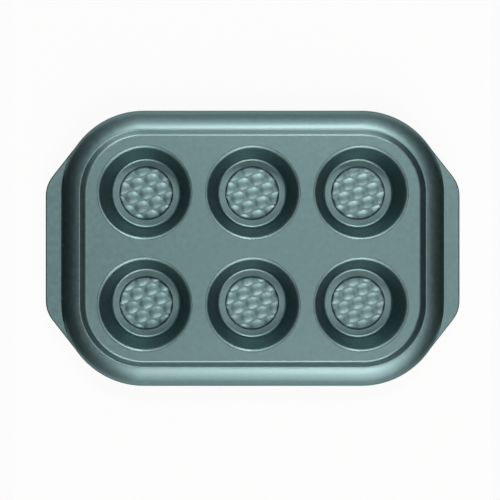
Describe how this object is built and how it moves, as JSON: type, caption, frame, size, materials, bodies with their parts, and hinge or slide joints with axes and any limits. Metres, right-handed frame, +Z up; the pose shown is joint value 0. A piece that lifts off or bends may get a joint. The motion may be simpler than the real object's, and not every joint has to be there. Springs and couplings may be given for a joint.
{
  "type": "muffin tin",
  "caption": "Pressed steel muffin tin with round tapered cups in a flat deck, a rolled-over rim, flat grip wings at both ends and dimpled cup floors.",
  "frame": {"origin": "centre of the plane that the undersides of the cups stand on", "axes": "+X along the tin from wing to wing, +Y across it, +Z up out of the cups' mouths"},
  "size_m": [0.316, 0.21, 0.0343],
  "materials": {
    "coated_steel": "satin"
  },
  "bodies": {
    "root": {"muffin_tin": "coated_steel"}
  },
  "joints": []
}
